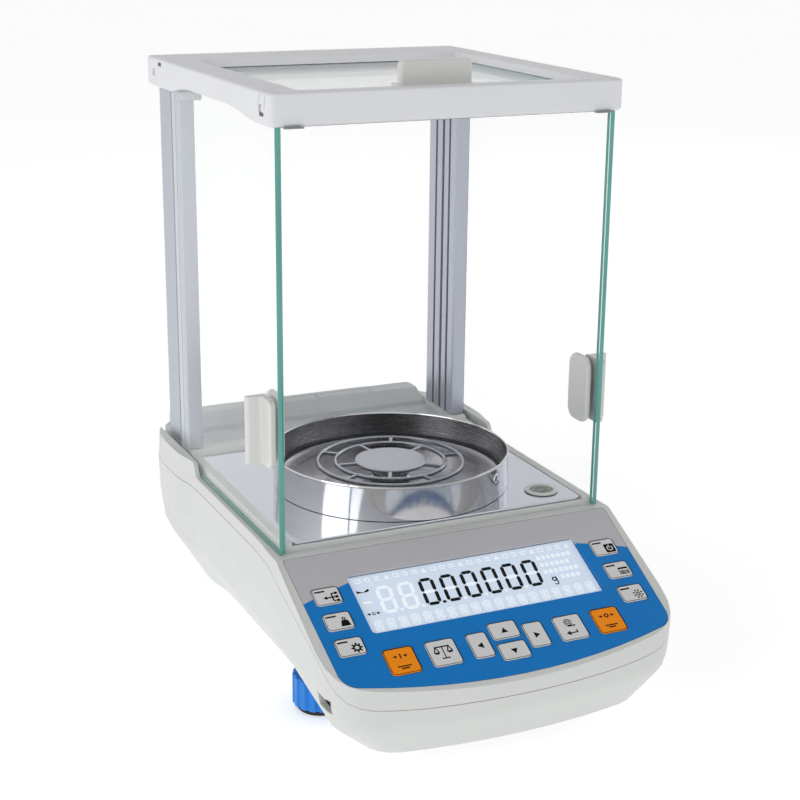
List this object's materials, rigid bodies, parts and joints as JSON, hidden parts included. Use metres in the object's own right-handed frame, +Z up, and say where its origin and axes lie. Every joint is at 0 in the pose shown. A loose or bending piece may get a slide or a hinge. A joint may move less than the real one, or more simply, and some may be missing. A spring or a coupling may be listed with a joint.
{
  "type": "analytical balance",
  "caption": "Bench analytical balance: sloped key and display console, glass draft shield with sliding side and top doors, and an open-work pan in a steel draft ring.",
  "frame": {"origin": "on the table, below the centre of the weighing pan, which is the centre of the bounding box's base", "axes": "+Z up, +X to the user's right, +Y away from the user"},
  "size_m": [0.2128, 0.333, 0.3367],
  "materials": {
    "housing": "fine satin texture",
    "rear_cover": "fine satin texture",
    "floor_plate": "polished steel sheet",
    "draft_ring": "polished outside, brushed inside",
    "bottom_shield": "circular brushing",
    "pan": "polished wire and disc",
    "support": "turned",
    "glass": "clear float glass, green edges",
    "column": "satin anodised",
    "frame": "fine satin texture",
    "handle": "satin",
    "panel": "printed film, grey above blue",
    "key": "satin",
    "key_orange": "satin",
    "display": "backlit display face",
    "display_window": "clear",
    "foot_knob": "satin",
    "foot_pad": "matt",
    "connector": "moulded",
    "socket": "stamped",
    "cell": "machined",
    "magnet": "machined",
    "brass": "turned",
    "board": "solder mask",
    "level_vial": "liquid filled"
  },
  "bodies": {
    "base": {"lower_housing": "housing", "upper_housing": "housing", "rear_cover": "rear_cover", "chamber_floor_plate": "floor_plate", "bottom_shield": "bottom_shield", "level_bezel": "handle", "level_vial": "level_vial", "front_glass": "glass", "rear_glass": "glass", "left_column": "column", "right_column": "column", "top_frame": "frame", "keypad_panel": "panel", "lcd_window": "display_window", "lcd_module": "display", "display_board": "board", "main_board": "board", "rear_connector_block": "connector", "side_socket": "socket", "weighing_cell_body": "cell", "magnet_pot": "magnet", "lift_motor": "magnet"},
    "left_door": {"left_door_glass": "glass", "left_door_handle_outer": "handle", "left_door_handle_inner": "handle"},
    "right_door": {"right_door_glass": "glass", "right_door_handle_outer": "handle", "right_door_handle_inner": "handle"},
    "top_door": {"top_door_glass": "glass", "top_door_handle": "handle"},
    "draft_ring": {"draft_ring": "draft_ring"},
    "carrier": {"pan_support": "support"},
    "pan": {"weighing_pan": "pan"},
    "lever": {"weighing_lever": "cell", "force_coil": "brass"},
    "adjustment_lift": {"adjustment_mass": "brass", "mass_cradle": "connector"},
    "key_mode": {"key_mode": "key"},
    "key_calibrate": {"key_calibrate": "key"},
    "key_setup": {"key_setup": "key"},
    "key_power": {"key_power": "key"},
    "key_database": {"key_database": "key"},
    "key_function": {"key_function": "key"},
    "key_tare": {"key_tare": "key_orange"},
    "key_units": {"key_units": "key"},
    "key_arrow_left": {"key_arrow_left": "key"},
    "key_arrow_up": {"key_arrow_up": "key"},
    "key_arrow_down": {"key_arrow_down": "key"},
    "key_arrow_right": {"key_arrow_right": "key"},
    "key_print": {"key_print": "key"},
    "key_zero": {"key_zero": "key_orange"},
    "foot_pad_front_left": {"foot_pad_front_left": "foot_pad"},
    "foot_knob_front_left": {"foot_knob_front_left": "foot_knob"},
    "foot_pad_front_right": {"foot_pad_front_right": "foot_pad"},
    "foot_knob_front_right": {"foot_knob_front_right": "foot_knob"},
    "foot_pad_rear_left": {"foot_pad_rear_left": "foot_pad"},
    "foot_knob_rear_left": {"foot_knob_rear_left": "foot_knob"},
    "foot_pad_rear_right": {"foot_pad_rear_right": "foot_pad"},
    "foot_knob_rear_right": {"foot_knob_rear_right": "foot_knob"}
  },
  "joints": [
    {"name": "left_door_slide", "type": "slide", "parent": "base", "child": "left_door", "axis": [0, 1, 0], "range_m": [0, 0.13]},
    {"name": "right_door_slide", "type": "slide", "parent": "base", "child": "right_door", "axis": [0, 1, 0], "range_m": [0, 0.13]},
    {"name": "top_door_slide", "type": "slide", "parent": "base", "child": "top_door", "axis": [0, 1, 0], "range_m": [0, 0.118]},
    {"name": "draft_ring_lift_off", "type": "slide", "parent": "base", "child": "draft_ring", "axis": [0, 0, 1], "range_m": [0, 0.12]},
    {"name": "carrier_travel", "type": "slide", "parent": "base", "child": "carrier", "axis": [0, 0, 1], "range_m": [-0.0002, 0.0002], "stiffness_N_per_m": 30000},
    {"name": "pan_lift_off", "type": "slide", "parent": "carrier", "child": "pan", "axis": [0, 0, 1], "range_m": [0, 0.12]},
    {"name": "lever_tilt", "type": "hinge", "parent": "base", "child": "lever", "pos_m": [0, 0.024, 0.058], "axis": [1, 0, 0], "range_deg": [-0.5, 0.5]},
    {"name": "adjustment_lift_travel", "type": "slide", "parent": "base", "child": "adjustment_lift", "axis": [0, 0, 1], "range_m": [0, 0.004]},
    {"name": "key_mode_press", "type": "slide", "parent": "base", "child": "key_mode", "axis": [0, 0.4404, -0.8978], "range_m": [0, 0.0006], "stiffness_N_per_m": 800},
    {"name": "key_calibrate_press", "type": "slide", "parent": "base", "child": "key_calibrate", "axis": [0, 0.4404, -0.8978], "range_m": [0, 0.0006], "stiffness_N_per_m": 800},
    {"name": "key_setup_press", "type": "slide", "parent": "base", "child": "key_setup", "axis": [0, 0.4404, -0.8978], "range_m": [0, 0.0006], "stiffness_N_per_m": 800},
    {"name": "key_power_press", "type": "slide", "parent": "base", "child": "key_power", "axis": [0, 0.4404, -0.8978], "range_m": [0, 0.0006], "stiffness_N_per_m": 800},
    {"name": "key_database_press", "type": "slide", "parent": "base", "child": "key_database", "axis": [0, 0.4404, -0.8978], "range_m": [0, 0.0006], "stiffness_N_per_m": 800},
    {"name": "key_function_press", "type": "slide", "parent": "base", "child": "key_function", "axis": [0, 0.4404, -0.8978], "range_m": [0, 0.0006], "stiffness_N_per_m": 800},
    {"name": "key_tare_press", "type": "slide", "parent": "base", "child": "key_tare", "axis": [0, 0.4404, -0.8978], "range_m": [0, 0.0006], "stiffness_N_per_m": 800},
    {"name": "key_units_press", "type": "slide", "parent": "base", "child": "key_units", "axis": [0, 0.4404, -0.8978], "range_m": [0, 0.0006], "stiffness_N_per_m": 800},
    {"name": "key_arrow_left_press", "type": "slide", "parent": "base", "child": "key_arrow_left", "axis": [0, 0.4404, -0.8978], "range_m": [0, 0.0006], "stiffness_N_per_m": 800},
    {"name": "key_arrow_up_press", "type": "slide", "parent": "base", "child": "key_arrow_up", "axis": [0, 0.4404, -0.8978], "range_m": [0, 0.0006], "stiffness_N_per_m": 800},
    {"name": "key_arrow_down_press", "type": "slide", "parent": "base", "child": "key_arrow_down", "axis": [0, 0.4404, -0.8978], "range_m": [0, 0.0006], "stiffness_N_per_m": 800},
    {"name": "key_arrow_right_press", "type": "slide", "parent": "base", "child": "key_arrow_right", "axis": [0, 0.4404, -0.8978], "range_m": [0, 0.0006], "stiffness_N_per_m": 800},
    {"name": "key_print_press", "type": "slide", "parent": "base", "child": "key_print", "axis": [0, 0.4404, -0.8978], "range_m": [0, 0.0006], "stiffness_N_per_m": 800},
    {"name": "key_zero_press", "type": "slide", "parent": "base", "child": "key_zero", "axis": [0, 0.4404, -0.8978], "range_m": [0, 0.0006], "stiffness_N_per_m": 800},
    {"name": "foot_front_left_height", "type": "slide", "parent": "base", "child": "foot_pad_front_left", "axis": [0, 0, -1], "range_m": [-0.0031, 0.0031]},
    {"name": "foot_front_left_turn", "type": "hinge", "parent": "foot_pad_front_left", "child": "foot_knob_front_left", "pos_m": [-0.0725, -0.0707, 0.009], "axis": [0, 0, 1], "range_deg": [-864, 864]},
    {"name": "foot_front_right_height", "type": "slide", "parent": "base", "child": "foot_pad_front_right", "axis": [0, 0, -1], "range_m": [-0.0031, 0.0031]},
    {"name": "foot_front_right_turn", "type": "hinge", "parent": "foot_pad_front_right", "child": "foot_knob_front_right", "pos_m": [0.0725, -0.0707, 0.009], "axis": [0, 0, 1], "range_deg": [-864, 864]},
    {"name": "foot_rear_left_height", "type": "slide", "parent": "base", "child": "foot_pad_rear_left", "axis": [0, 0, -1], "range_m": [-0.0031, 0.0031]},
    {"name": "foot_rear_left_turn", "type": "hinge", "parent": "foot_pad_rear_left", "child": "foot_knob_rear_left", "pos_m": [-0.049, 0.117, 0.009], "axis": [0, 0, 1], "range_deg": [-864, 864]},
    {"name": "foot_rear_right_height", "type": "slide", "parent": "base", "child": "foot_pad_rear_right", "axis": [0, 0, -1], "range_m": [-0.0031, 0.0031]},
    {"name": "foot_rear_right_turn", "type": "hinge", "parent": "foot_pad_rear_right", "child": "foot_knob_rear_right", "pos_m": [0.049, 0.117, 0.009], "axis": [0, 0, 1], "range_deg": [-864, 864]}
  ],
  "couplings": [
    {"joint": "lever_tilt", "follows": "carrier_travel", "rad_per_m": -41.667},
    {"joint": "foot_front_left_height", "follows": "foot_front_left_turn", "m_per_rad": 0.00019894},
    {"joint": "foot_front_right_height", "follows": "foot_front_right_turn", "m_per_rad": 0.00019894},
    {"joint": "foot_rear_left_height", "follows": "foot_rear_left_turn", "m_per_rad": 0.00019894},
    {"joint": "foot_rear_right_height", "follows": "foot_rear_right_turn", "m_per_rad": 0.00019894}
  ]
}
